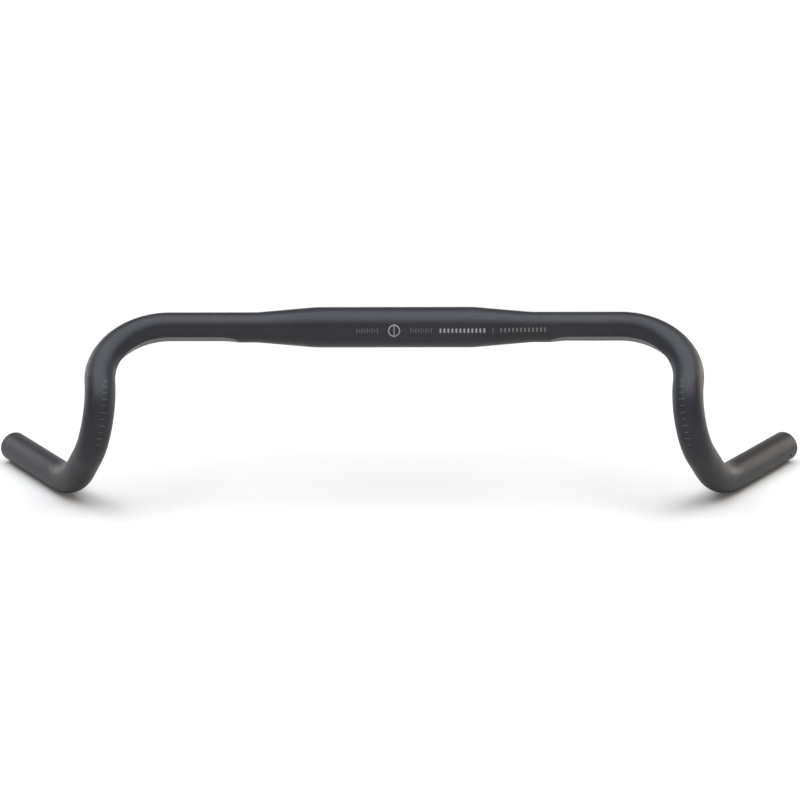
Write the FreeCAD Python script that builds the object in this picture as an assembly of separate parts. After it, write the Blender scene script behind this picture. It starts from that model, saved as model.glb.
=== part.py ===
"""Drop handlebar for a road or gravel bicycle.

One bent and bulge-formed aluminium tube, a push-in plug in each end, and the printed marks
that a mechanic sets the stem and the brake levers by. Millimetres. The origin is the centre
of the stem clamp, +X runs along the bar to the rider's right, -Y is forward and +Z is up.
"""

import math
import os

import FreeCAD
import Part

os.makedirs("parts", exist_ok=True)

V = FreeCAD.Vector
ORIGIN = V(0, 0, 0)

# Tube
TUBE_R = 11.9  # 23.8 mm tube, the size brake levers clamp to
TUBE_WALL = 1.7
CLAMP_R = 15.9  # 31.8 mm stem clamp
CLAMP_WALL = 2.0
SHOULDER_X = 61.5  # where the clamp's cylinder would meet the taper without its blend
TAPER = 46.0  # length of the taper down to the tube
BLEND_R = 60.0  # soft blends at both ends of the taper
END_CHAMFER = 0.4

# Centreline of the right half: straight top, corner, hook, and tail, as a bender makes it
TOP_END_X = 177.0
CORNER_R = 50.0
HOOK_R = 37.0
TAIL_R = 57.0
UNDERSIDE = 23.8  # straight between the hook and the tail bend
TAIL = 85.5  # straight end that the hand holds
OUTSWEEP = 34.5  # tail, outward from straight back
RAMP_TOE_IN, RAMP_PITCH = 9.7, 30.5  # where the corner bend ends
HOOK_SWEEP, HOOK_PITCH = 31.4, 45.3  # where the hook bend ends

# Cable recess pressed into the lower front of each top
RECESS_DEPTH = 2.4
RECESS_FROM_X = 136.5
RECESS_TILT = 29.0  # the flat's normal, forward of straight down
RECESS_LEAD_R = 52.0  # curve of the lead-in at the inner end
RECESS_CORNER_R = 49.0  # the tool's own turn, a little tighter than the corner's
RECESS_CORNER_TURN = 83.0  # degrees of the corner that the flat follows
RECESS_FADE_R = 22.0  # tighter turn that then lifts the flat out of the tube
RECESS_FADE_TURN = 45.0
RECESS_TOOL_WIDTH, RECESS_TOOL_HEIGHT = 18.0, 5.0

# Vent hole near the right end
VENT_D = 2.0
VENT_FROM_END = 11.0
VENT_DROP = 14.0  # degrees below straight outboard

# End plugs
PLUG_FIT = 0.05  # between the ribs and the bore
PLUG_SEAT = 0.1  # under the flange
PLUG_SPIGOT = 20.0
PLUG_CORE_R = 9.2
PLUG_BORE_R = 7.6
PLUG_FLANGE_R = 10.9
PLUG_FLANGE, PLUG_DOME = 0.8, 0.7
PLUG_CROWN = 0.72  # share of the dome's height halfway in from its rim
PLUG_GATE_R = 2.0  # flat in the middle of the dome
PLUG_FLOOR = 1.2
PLUG_RIBS, PLUG_RIB, PLUG_RIB_STEP = 4, 1.2, 4.2
PLUG_SLOT = 2.0
PLUG_SLOT_LENGTH = 13.0

# Printed marks
INK = 0.06
PRINT_RISE = 6.0  # degrees above straight forward
CENTRE_RING_R = 4.7
CENTRE_RING_LINE = 0.8
CENTRE_LINE_HEIGHT = 11.0
SCALE_FROM_X, SCALE_STEP, SCALE_TICKS = 13.0, 2.0, 9
SCALE_LINE, SCALE_LONG, SCALE_SHORT = 0.6, 4.0, 2.4
BAND_HEIGHT, BAND_BAR, BAND_STEP = 3.4, 1.4, 3.1
CLAMP_BAND_FROM_X, CLAMP_BAND_BARS = 35.4, 12
DIVIDER_X, DIVIDER, DIVIDER_HEIGHT = 76.6, 0.6, 4.4
TOP_BAND_FROM_X, TOP_BAND_BARS = 82.6, 12
LEVER_TICKS = 11
LEVER_FROM_TURN = 9.4  # degrees into the hook bend
LEVER_STEP = 5.2  # along the outside of the hook
LEVER_LINE, LEVER_LONG, LEVER_SHORT = 0.5, 4.8, 3.0
LEVER_OFFSET = 6.0  # degrees inboard of the hook's outside line


# ---- centreline ---------------------------------------------------------------------------


def heading(turn, pitch):
    """Unit vector at an angle about Z from +X, and then above or below the horizon."""
    t, p = math.radians(turn), math.radians(pitch)
    return V(math.cos(t) * math.cos(p), math.sin(t) * math.cos(p), math.sin(p))


class Bend:
    """A circular bend from a start point and direction to a new direction."""

    def __init__(self, start, t0, t1, radius):
        self.start, self.t0, self.t1, self.radius = start, t0, t1, radius
        angle = math.acos(t0.dot(t1))
        self.inward = (t1 - t0 * math.cos(angle)).normalize()
        self.axis = t0.cross(self.inward)
        self.centre = start + self.inward * radius
        self.turn = math.degrees(angle)
        self.end = self.point(self.turn)

    def frame(self, turn):
        """Direction along the tube and direction to the bend's centre after turn degrees."""
        a = math.radians(turn)
        along = self.t0 * math.cos(a) + self.inward * math.sin(a)
        return along, self.inward * math.cos(a) - self.t0 * math.sin(a)

    def point(self, turn):
        return self.centre - self.frame(turn)[1] * self.radius


TOP_END = V(TOP_END_X, 0, 0)
CORNER = Bend(TOP_END, V(1, 0, 0), heading(-90 - RAMP_TOE_IN, -RAMP_PITCH), CORNER_R)
HOOK = Bend(CORNER.end, CORNER.t1, heading(90 - HOOK_SWEEP, -HOOK_PITCH), HOOK_R)
UNDER_END = HOOK.end + HOOK.t1 * UNDERSIDE
TAIL_BEND = Bend(UNDER_END, HOOK.t1, heading(90 - OUTSWEEP, 0), TAIL_R)
TAIL_DIR = TAIL_BEND.t1
TAIL_END = TAIL_BEND.end + TAIL_DIR * TAIL


def mirrored(shape):
    return shape.mirror(ORIGIN, V(1, 0, 0))


# ---- tube ---------------------------------------------------------------------------------

SLOPE = math.atan((CLAMP_R - TUBE_R) / TAPER)
BLEND_REACH = BLEND_R * math.tan(SLOPE / 2)
SHOULDER_START = SHOULDER_X - BLEND_REACH
FOOT_END = SHOULDER_X + TAPER + BLEND_REACH
ROUND_TOP_END = FOOT_END + 2


def blend(x, r, side):
    """Three points of the arc that is level at (x, r); side is 1 at the shoulder, -1 at the foot."""

    def at(angle):
        return V(x + side * BLEND_R * math.sin(angle), 0, r - side * BLEND_R * (1 - math.cos(angle)))

    return at(0), at(SLOPE / 2), at(SLOPE)


def bar_radius(x):
    """Outside radius of the clamp, taper and round top at a distance x from the middle."""
    if x < SHOULDER_START:
        return CLAMP_R
    if x > FOOT_END:
        return TUBE_R
    past, short = x - SHOULDER_START, FOOT_END - x
    if past < BLEND_R * math.sin(SLOPE):
        return CLAMP_R - BLEND_R + math.sqrt(BLEND_R**2 - past**2)
    if short < BLEND_R * math.sin(SLOPE):
        return TUBE_R + BLEND_R - math.sqrt(BLEND_R**2 - short**2)
    return CLAMP_R - (x - SHOULDER_X) * math.tan(SLOPE)


def clamp_solid(r_clamp, r_tube):
    """Right half of the clamp, its taper and the first stretch of the top, turned about X."""
    shoulder = blend(SHOULDER_START, r_clamp, 1)
    foot = blend(FOOT_END, r_tube, -1)
    outline = [
        Part.makeLine(ORIGIN, V(0, 0, r_clamp)),
        Part.makeLine(V(0, 0, r_clamp), shoulder[0]),
        Part.Arc(*shoulder).toShape(),
        Part.makeLine(shoulder[2], foot[2]),
        Part.Arc(*foot).toShape(),
        Part.makeLine(foot[0], V(ROUND_TOP_END, 0, r_tube)),
        Part.makeLine(V(ROUND_TOP_END, 0, r_tube), V(ROUND_TOP_END, 0, 0)),
        Part.makeLine(V(ROUND_TOP_END, 0, 0), ORIGIN),
    ]
    return Part.Face(Part.Wire(Part.__sortEdges__(outline))).revolve(ORIGIN, V(1, 0, 0), 360)


def bend_solid(bend, radius):
    face = Part.Face(Part.Wire(Part.makeCircle(radius, bend.start, bend.t0)))
    return face.revolve(bend.centre, bend.axis, bend.turn)


def press_outline(start, along, normal, distance):
    """Section of the recess tool: a rectangle that begins at a distance from the centreline."""
    side = along.cross(normal) * (RECESS_TOOL_WIDTH / 2)
    near, far = normal * distance, normal * (distance + RECESS_TOOL_HEIGHT)
    corners = [start + near - side, start + near + side, start + far + side, start + far - side]
    return Part.Face(Part.makePolygon(corners + corners[:1]))


def recessed(top, corner, distance):
    """Presses the flat into a straight top and round its corner bend, and fades both ends out."""
    tilt = math.radians(RECESS_TILT)
    normal = V(0, -math.sin(tilt), -math.cos(tilt))
    start = V(RECESS_FROM_X, 0, 0)
    lead_r = RECESS_LEAD_R + TUBE_R - RECESS_DEPTH - distance
    lead_axis = V(1, 0, 0).cross(normal)
    lead = Part.makeCylinder(
        lead_r,
        RECESS_TOOL_WIDTH,
        start + normal * (distance + lead_r) - lead_axis * (RECESS_TOOL_WIDTH / 2),
        lead_axis,
    )
    flat = press_outline(start, V(1, 0, 0), normal, distance).extrude(TOP_END - start)
    top = top.cut(flat).cut(lead)

    section = press_outline(TOP_END, V(1, 0, 0), normal, distance)
    follow_centre = TOP_END + CORNER.inward * RECESS_CORNER_R
    follow = section.revolve(follow_centre, CORNER.axis, RECESS_CORNER_TURN)
    section.rotate(follow_centre, CORNER.axis, RECESS_CORNER_TURN)
    inward = CORNER.frame(RECESS_CORNER_TURN)[1]
    fade_centre = follow_centre - inward * (RECESS_CORNER_R - RECESS_FADE_R)
    fade = section.revolve(fade_centre, CORNER.axis, RECESS_FADE_TURN)
    return top, corner.cut(follow).cut(fade)


def half_bar(r_clamp, r_tube, tail_end):
    """Right half of the bar as one solid of round, recessed and bent lengths."""
    top = Part.makeCylinder(
        r_tube, TOP_END_X - ROUND_TOP_END, V(ROUND_TOP_END, 0, 0), V(1, 0, 0)
    )
    top, corner = recessed(top, bend_solid(CORNER, r_tube), r_tube - RECESS_DEPTH)
    lengths = [
        clamp_solid(r_clamp, r_tube),
        top,
        corner,
        bend_solid(HOOK, r_tube),
        Part.makeCylinder(r_tube, UNDERSIDE, HOOK.end, HOOK.t1),
        bend_solid(TAIL_BEND, r_tube),
        tail_end,
    ]
    return lengths[0].multiFuse(lengths[1:])


def bar_tube():
    straight = TAIL - END_CHAMFER
    tail = Part.makeCylinder(TUBE_R, straight, TAIL_BEND.end, TAIL_DIR)
    lip = Part.makeCone(
        TUBE_R, TUBE_R - END_CHAMFER, END_CHAMFER, TAIL_BEND.end + TAIL_DIR * straight, TAIL_DIR
    )
    outside = half_bar(CLAMP_R, TUBE_R, tail.fuse(lip))
    bore_r = TUBE_R - TUBE_WALL
    bore_tail = Part.makeCylinder(bore_r, TAIL + 1, TAIL_BEND.end, TAIL_DIR)
    inside = half_bar(CLAMP_R - CLAMP_WALL, bore_r, bore_tail)
    half = outside.cut(inside)
    tube = half.fuse(mirrored(half))

    drop = math.radians(VENT_DROP)
    outboard = TAIL_DIR.cross(V(0, 0, 1))
    vent_dir = outboard * math.cos(drop) - V(0, 0, 1) * math.sin(drop)
    vent = Part.makeCylinder(
        VENT_D / 2, TUBE_R + 1, TAIL_END - TAIL_DIR * VENT_FROM_END, vent_dir
    )
    return tube.cut(vent).removeSplitter()


# ---- end plugs ----------------------------------------------------------------------------


def turned(wire):
    return Part.Face(wire).revolve(ORIGIN, V(0, 0, 1), 360)


def end_plug():
    """Plug of the right end: a slotted cup with ribs, closed by a slightly domed flange."""
    rim_z, floor_z = PLUG_SEAT + PLUG_FLANGE, PLUG_SEAT - PLUG_FLOOR
    corners = [
        V(PLUG_GATE_R, 0, rim_z + PLUG_DOME),
        V(0, 0, rim_z + PLUG_DOME),
        V(0, 0, floor_z),
        V(PLUG_BORE_R, 0, floor_z),
        V(PLUG_BORE_R, 0, -PLUG_SPIGOT),
        V(PLUG_CORE_R, 0, -PLUG_SPIGOT),
        V(PLUG_CORE_R, 0, PLUG_SEAT),
        V(PLUG_FLANGE_R, 0, PLUG_SEAT),
        V(PLUG_FLANGE_R, 0, rim_z),
    ]
    crown = V((PLUG_GATE_R + PLUG_FLANGE_R) / 2, 0, rim_z + PLUG_CROWN * PLUG_DOME)
    dome = Part.Arc(corners[-1], crown, corners[0]).toShape()
    plug = turned(Part.Wire(Part.makePolygon(corners).Edges + [dome]))
    rib_r = TUBE_R - TUBE_WALL - PLUG_FIT
    for i in range(PLUG_RIBS):
        z = -PLUG_RIB_STEP * (i + 0.7)
        flank = rib_r - PLUG_CORE_R
        foot_r, half = PLUG_CORE_R - 0.2, PLUG_RIB / 2
        section = [
            V(foot_r, 0, z - half - flank),
            V(rib_r, 0, z - half),
            V(rib_r, 0, z + half),
            V(foot_r, 0, z + half + flank / 2),
        ]
        plug = plug.fuse(turned(Part.makePolygon(section + section[:1])))
    for turn in (0, 90):
        slot = Part.makeBox(3 * PLUG_CORE_R, PLUG_SLOT, PLUG_SLOT_LENGTH)
        slot.translate(V(-1.5 * PLUG_CORE_R, -PLUG_SLOT / 2, -PLUG_SPIGOT))
        slot.rotate(ORIGIN, V(0, 0, 1), turn)
        plug = plug.cut(slot)
    plug = plug.removeSplitter()
    plug.Placement = FreeCAD.Placement(TAIL_END, FreeCAD.Rotation(V(0, 0, 1), TAIL_DIR))
    return plug


# ---- printed marks ------------------------------------------------------------------------


def print_patch(x0, x1, height):
    """Rectangle of ink on the front of the right half, following the bar's outside."""
    high = math.radians(PRINT_RISE) + height / 2 / bar_radius((x0 + x1) / 2)
    out = V(0, -math.cos(high), math.sin(high))
    r0, r1 = bar_radius(abs(x0)), bar_radius(abs(x1))
    corners = [
        V(x0, 0, 0) + out * r0,
        V(x1, 0, 0) + out * r1,
        V(x1, 0, 0) + out * (r1 + INK),
        V(x0, 0, 0) + out * (r0 + INK),
    ]
    turn = math.degrees(height / bar_radius((x0 + x1) / 2))
    return Part.Face(Part.makePolygon(corners + corners[:1])).revolve(ORIGIN, V(1, 0, 0), turn)


def centre_mark():
    """Ring with an upright line through it, printed in the middle of the clamp."""
    rise = math.radians(PRINT_RISE)
    out = V(0, -math.cos(rise), math.sin(rise))
    skin = Part.makeCylinder(CLAMP_R + INK, 4 * CENTRE_RING_R, V(-2 * CENTRE_RING_R, 0, 0), V(1, 0, 0))
    skin = skin.cut(
        Part.makeCylinder(CLAMP_R, 4 * CENTRE_RING_R, V(-2 * CENTRE_RING_R, 0, 0), V(1, 0, 0))
    )
    ring = Part.makeCylinder(CENTRE_RING_R, 2 * CLAMP_R, ORIGIN, out)
    ring = ring.cut(Part.makeCylinder(CENTRE_RING_R - CENTRE_RING_LINE, 2 * CLAMP_R, ORIGIN, out))
    line = print_patch(-SCALE_LINE / 2, SCALE_LINE / 2, CENTRE_LINE_HEIGHT)
    return skin.common(ring).fuse(line).removeSplitter()


def centring_scale():
    """Row of upright ticks, every other one longer, that shows how far the bar sits off centre."""
    ticks = []
    for i in range(SCALE_TICKS):
        x = SCALE_FROM_X + i * SCALE_STEP
        height = SCALE_SHORT if i % 2 else SCALE_LONG
        ticks.append(print_patch(x - SCALE_LINE / 2, x + SCALE_LINE / 2, height))
    return Part.makeCompound(ticks)


def band(from_x, bars):
    """Row of plain upright bars of ink."""
    starts = [from_x + i * BAND_STEP for i in range(bars)]
    return [print_patch(x, x + BAND_BAR, BAND_HEIGHT) for x in starts]


def clamp_band():
    return Part.makeCompound(band(CLAMP_BAND_FROM_X, CLAMP_BAND_BARS))


def top_band():
    """Fainter row from the taper to the round part of the top, after a thin upright divider."""
    divider = print_patch(DIVIDER_X, DIVIDER_X + DIVIDER, DIVIDER_HEIGHT)
    return Part.makeCompound([divider] + band(TOP_BAND_FROM_X, TOP_BAND_BARS))


def lever_tick(turn, length):
    """Short line of ink across the outside of the hook bend."""
    inward = HOOK.frame(turn)[1]
    base = HOOK.point(turn)
    middle, half = math.radians(LEVER_OFFSET), length / 2 / TUBE_R

    def at(angle, r):
        return base - (inward * math.cos(angle) + HOOK.axis * math.sin(angle)) * r

    def arc(r):
        return Part.Arc(at(middle - half, r), at(middle, r), at(middle + half, r)).toShape()

    def side(angle):
        return Part.makeLine(at(angle, TUBE_R), at(angle, TUBE_R + INK))

    edges = [arc(TUBE_R), side(middle + half), arc(TUBE_R + INK), side(middle - half)]
    face = Part.Face(Part.Wire(Part.__sortEdges__(edges)))
    return face.revolve(HOOK.centre, HOOK.axis, math.degrees(LEVER_LINE / (HOOK_R + TUBE_R)))


def lever_scale():
    """Ticks down the hook that show how high the brake lever is clamped."""
    step = math.degrees(LEVER_STEP / (HOOK_R + TUBE_R))
    ticks = []
    for i in range(LEVER_TICKS):
        length = LEVER_LONG if i % 2 else LEVER_SHORT
        ticks.append(lever_tick(LEVER_FROM_TURN + i * step, length))
    return Part.makeCompound(ticks)


# ---- the handlebar ------------------------------------------------------------------------

plug, scale, levers = end_plug(), centring_scale(), lever_scale()

NODES = {
    "bar_tube": bar_tube(),
    "end_plug_right": plug,
    "end_plug_left": mirrored(plug),
    "centre_mark": centre_mark(),
    "centring_scale_right": scale,
    "centring_scale_left": mirrored(scale),
    "clamp_band": clamp_band(),
    "top_band": top_band(),
    "lever_scale_right": levers,
    "lever_scale_left": mirrored(levers),
}

for name, shape in NODES.items():
    shape.exportStep(f"parts/{name}.step")
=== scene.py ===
import math

import bpy
from mathutils import Matrix, Vector


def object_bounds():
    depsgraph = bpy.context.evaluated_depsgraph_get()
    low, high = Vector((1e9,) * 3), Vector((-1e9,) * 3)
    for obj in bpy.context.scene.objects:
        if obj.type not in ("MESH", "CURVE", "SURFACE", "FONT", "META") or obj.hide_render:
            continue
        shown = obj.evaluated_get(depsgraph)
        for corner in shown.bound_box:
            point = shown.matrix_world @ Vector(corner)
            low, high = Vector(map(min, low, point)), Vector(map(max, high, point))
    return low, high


# Looks, light and camera of the drop handlebar. Metres, in the frame of the CAD part.

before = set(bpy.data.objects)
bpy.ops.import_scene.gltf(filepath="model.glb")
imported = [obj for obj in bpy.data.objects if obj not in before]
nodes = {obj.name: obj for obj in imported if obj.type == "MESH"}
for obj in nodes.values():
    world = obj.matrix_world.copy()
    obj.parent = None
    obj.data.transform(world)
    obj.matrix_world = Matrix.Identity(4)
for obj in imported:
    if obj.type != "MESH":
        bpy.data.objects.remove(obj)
cad_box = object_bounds()

# Camera: a long lens in front of the bar, a little above it. Angles in degrees
CAMERA_AIM = Vector((0.0042, -0.0176, -0.0543))
CAMERA_DISTANCE = 2.012
CAMERA_AZIMUTH, CAMERA_ELEVATION, CAMERA_ROLL = 1.55, 18.04, -0.53
CAMERA_LENS, CAMERA_SENSOR = 115.5, 36.0  # millimetres

# Black anodising
ANODISED_DARK, ANODISED_LIGHT = (0.0064, 0.0062, 0.0084), (0.0096, 0.0093, 0.0122)
ANODISED_IOR = 1.4
ANODISED_ROUGHNESS = (0.4, 0.49)
BLAST_SCALE, BLAST_DEPTH = 4200, 0.00001  # the grain that bead blasting leaves
PEEL_SCALE, PEEL_DEPTH = 700, 0.000006  # the slower unevenness under it

# Moulded plastic of the plugs
PLASTIC_DARK, PLASTIC_LIGHT = (0.012, 0.012, 0.012), (0.02, 0.02, 0.02)
PLASTIC_ROUGHNESS = (0.5, 0.68)
PLASTIC_GRAIN_DEPTH = 0.00004

# Printed ink: how light each print is, and the share of that where its film is thin
INK_BRIGHT, INK_DIM, INK_LEVER = 0.24, 0.085, 0.065
INK_THIN = 0.8
INK_ROUGHNESS = (0.45, 0.6)
INK_GRAIN_DEPTH = 0.00001

# Paper floor, just under the bar
PAPER_DARK, PAPER_LIGHT = (0.615, 0.595, 0.565), (0.64, 0.62, 0.59)
PAPER_ROUGHNESS, PAPER_SPECULAR = 0.9, 0.1
FLOOR_SIZE = 9.4
FLOOR_GAP = 0.0002

# Four lights, one over each edge of the floor, that keep it white far from the bar
FLOOR_LIGHT_FROM, FLOOR_LIGHT_HEIGHT = 3.6, 3.6
FLOOR_LIGHT_ALONG, FLOOR_LIGHT_ACROSS = 7.0, 4.0
FLOOR_LIGHT_POWER, FLOOR_LIGHT_SPREAD = 168, 55

# Surroundings: white curtains that fade to a dim ceiling between two sines of the height
CURTAIN_STRENGTH, CEILING_STRENGTH = 1.04, 0.25
CURTAIN_FADE = (0.12, 0.45)

NOISE_RANGE = (0.3, 0.7)  # where nearly all of a noise texture's values lie


# ---- materials ----------------------------------------------------------------------------


class Nodes:
    """A material's node tree, with short calls for the nodes that the finishes share."""

    def __init__(self, name):
        self.material = bpy.data.materials.new(name)
        self.material.use_nodes = True
        self.tree = self.material.node_tree
        self.shader = self.tree.nodes["Principled BSDF"]
        self.place = self.tree.nodes.new("ShaderNodeTexCoord").outputs["Object"]

    def link(self, a, b):
        self.tree.links.new(a, b)

    def noise(self, scale, detail=2.0, roughness=0.5):
        node = self.tree.nodes.new("ShaderNodeTexNoise")
        node.inputs["Scale"].default_value = scale
        node.inputs["Detail"].default_value = detail
        node.inputs["Roughness"].default_value = roughness
        self.link(self.place, node.inputs["Vector"])
        return node.outputs["Fac"]

    def blend(self, fac, start, end, between=NOISE_RANGE):
        """From one colour to another as fac goes from one value to another."""
        node = self.tree.nodes.new("ShaderNodeValToRGB")
        for element, position, colour in zip(node.color_ramp.elements, between, (start, end)):
            element.position = position
            element.color = (*colour, 1)
        self.link(fac, node.inputs["Fac"])
        return node.outputs["Color"]

    def range(self, fac, limits):
        """A number that follows a noise texture between two limits."""
        node = self.tree.nodes.new("ShaderNodeMapRange")
        ends = ("From Min", "From Max", "To Min", "To Max")
        for end, value in zip(ends, (*NOISE_RANGE, *limits)):
            node.inputs[end].default_value = value
        self.link(fac, node.inputs["Value"])
        return node.outputs["Result"]

    def bump(self, height, depth, normal=None):
        node = self.tree.nodes.new("ShaderNodeBump")
        node.inputs["Strength"].default_value = 1.0
        node.inputs["Distance"].default_value = depth
        self.link(height, node.inputs["Height"])
        if normal is not None:
            self.link(normal, node.inputs["Normal"])
        return node.outputs["Normal"]

    def set(self, **values):
        for key, value in values.items():
            socket = self.shader.inputs[key.replace("_", " ")]
            if isinstance(value, bpy.types.NodeSocket):
                self.link(value, socket)
            else:
                socket.default_value = value
        return self.material


def anodised():
    """Black anodising over a bead-blasted surface: a fine dull grain that barely varies in tone."""
    n = Nodes("black_anodising")
    cloud = n.noise(26, detail=4, roughness=0.6)
    blast = n.noise(BLAST_SCALE, roughness=0.6)
    peel = n.noise(PEEL_SCALE)
    return n.set(
        Base_Color=n.blend(cloud, ANODISED_DARK, ANODISED_LIGHT, between=(0.35, 0.65)),
        IOR=ANODISED_IOR,
        Roughness=n.range(n.noise(260, detail=4), ANODISED_ROUGHNESS),
        Normal=n.bump(blast, BLAST_DEPTH, n.bump(peel, PEEL_DEPTH)),
    )


def moulded_plastic():
    n = Nodes("moulded_black_plastic")
    grain = n.noise(1500, detail=3, roughness=0.6)
    return n.set(
        Base_Color=n.blend(n.noise(90), PLASTIC_DARK, PLASTIC_LIGHT),
        Roughness=n.range(grain, PLASTIC_ROUGHNESS),
        Normal=n.bump(grain, PLASTIC_GRAIN_DEPTH),
    )


def ink(name, level):
    """Pad-printed grey ink, a little uneven where the film is thin."""
    n = Nodes(name)
    film = n.noise(2400, detail=3)
    return n.set(
        Base_Color=n.blend(film, (INK_THIN * level,) * 3, (level,) * 3, between=(0.35, 0.6)),
        Roughness=n.range(n.noise(1800), INK_ROUGHNESS),
        Normal=n.bump(n.noise(3000), INK_GRAIN_DEPTH),
    )


def floor_paper():
    n = Nodes("pale_paper")
    return n.set(
        Base_Color=n.blend(n.noise(2.0), PAPER_DARK, PAPER_LIGHT),
        Roughness=PAPER_ROUGHNESS,
        Specular_IOR_Level=PAPER_SPECULAR,
    )


def dress(names, material):
    for name in names:
        slots = nodes[name].data.materials
        slots.clear()
        slots.append(material)


dress(["bar_tube"], anodised())
dress(["end_plug_left", "end_plug_right"], moulded_plastic())
dress(["clamp_band", "centre_mark"], ink("bright_ink_print", INK_BRIGHT))
dress(["top_band", "centring_scale_left", "centring_scale_right"], ink("dim_ink_print", INK_DIM))
dress(["lever_scale_left", "lever_scale_right"], ink("lever_ink_print", INK_LEVER))


# ---- floor, light and camera --------------------------------------------------------------


def place_in_scene(name, data):
    item = bpy.data.objects.new(name, data)
    bpy.context.scene.collection.objects.link(item)
    return item


def add_floor():
    low = cad_box[0][2] - FLOOR_GAP
    half = FLOOR_SIZE / 2
    mesh = bpy.data.meshes.new("floor")
    corners = [(-half, -half, low), (half, -half, low), (half, half, low), (-half, half, low)]
    mesh.from_pydata(corners, [], [(0, 1, 2, 3)])
    mesh.materials.append(floor_paper())
    place_in_scene("floor", mesh)


def add_softbox(name, place, aim, size, power, colour=(1, 1, 1), spread=180):
    light = bpy.data.lights.new(name, "AREA")
    light.shape = "RECTANGLE"
    light.size, light.size_y = size
    light.energy = power
    light.color = colour
    light.spread = math.radians(spread)
    box = place_in_scene(name, light)
    box.location = place
    box.rotation_euler = (Vector(aim) - Vector(place)).to_track_quat("-Z", "Y").to_euler()


def add_bar_lights():
    """One large softbox overhead, a weak one in front, and one on each side, a little behind."""
    add_softbox(
        "overhead", (0, -0.2, 1.4), (0, -0.2, 0), size=(2.8, 1.8), power=57,
        colour=(0.93, 0.98, 1.07),
    )
    add_softbox("front_fill", (0, -2.7, 0.55), (0, 0, 0), size=(2.6, 1.6), power=7)
    add_softbox("left_side", (-1.4, 1.05, 0.43), (-0.2, 0, 0.35), size=(0.8, 1.1), power=5.5)
    add_softbox(
        "right_side", (1.45, 0.9, 0.43), (0.2, 0, 0.35), size=(0.8, 1.1), power=9,
        colour=(1.0, 0.88, 0.74),
    )


def add_floor_lights():
    for side_x, side_y in ((0, 1), (0, -1), (-1, 0), (1, 0)):
        x, y = side_x * FLOOR_LIGHT_FROM, side_y * FLOOR_LIGHT_FROM
        size = (FLOOR_LIGHT_ALONG, FLOOR_LIGHT_ACROSS)
        if side_x:
            size = size[::-1]
        add_softbox(
            "floor_light", (x, y, FLOOR_LIGHT_HEIGHT), (x, y, 0), size,
            power=FLOOR_LIGHT_POWER, spread=FLOOR_LIGHT_SPREAD,
        )


def add_world():
    """White curtains all round up to a low height, and a dim ceiling above them."""
    world = bpy.data.worlds.new("studio")
    world.use_nodes = True
    tree = world.node_tree
    direction = tree.nodes.new("ShaderNodeTexCoord").outputs["Generated"]
    split = tree.nodes.new("ShaderNodeSeparateXYZ")
    fade = tree.nodes.new("ShaderNodeMapRange")
    ends = ("From Min", "From Max", "To Min", "To Max")
    for end, value in zip(ends, (*CURTAIN_FADE, CURTAIN_STRENGTH, CEILING_STRENGTH)):
        fade.inputs[end].default_value = value
    tree.links.new(direction, split.inputs["Vector"])
    tree.links.new(split.outputs["Z"], fade.inputs["Value"])
    tree.links.new(fade.outputs["Result"], tree.nodes["Background"].inputs["Strength"])
    tree.nodes["Background"].inputs["Color"].default_value = (1, 1, 1, 1)
    bpy.context.scene.world = world


def add_camera():
    azimuth, elevation, roll = (
        math.radians(angle) for angle in (CAMERA_AZIMUTH, CAMERA_ELEVATION, CAMERA_ROLL)
    )
    back = Vector(
        (
            math.sin(azimuth) * math.cos(elevation),
            -math.cos(azimuth) * math.cos(elevation),
            math.sin(elevation),
        )
    )
    right = Vector((0, 0, 1)).cross(back).normalized()
    up = back.cross(right)
    x_axis = right * math.cos(roll) + up * math.sin(roll)
    y_axis = up * math.cos(roll) - right * math.sin(roll)
    camera = place_in_scene("camera", bpy.data.cameras.new("camera"))
    camera.data.lens, camera.data.sensor_width = CAMERA_LENS, CAMERA_SENSOR
    turn = Matrix((x_axis, y_axis, back)).transposed()
    camera.matrix_world = Matrix.Translation(CAMERA_AIM + back * CAMERA_DISTANCE) @ turn.to_4x4()
    bpy.context.scene.camera = camera


add_floor()
add_bar_lights()
add_floor_lights()
add_world()
add_camera()
bpy.context.scene.view_settings.view_transform = "Standard"
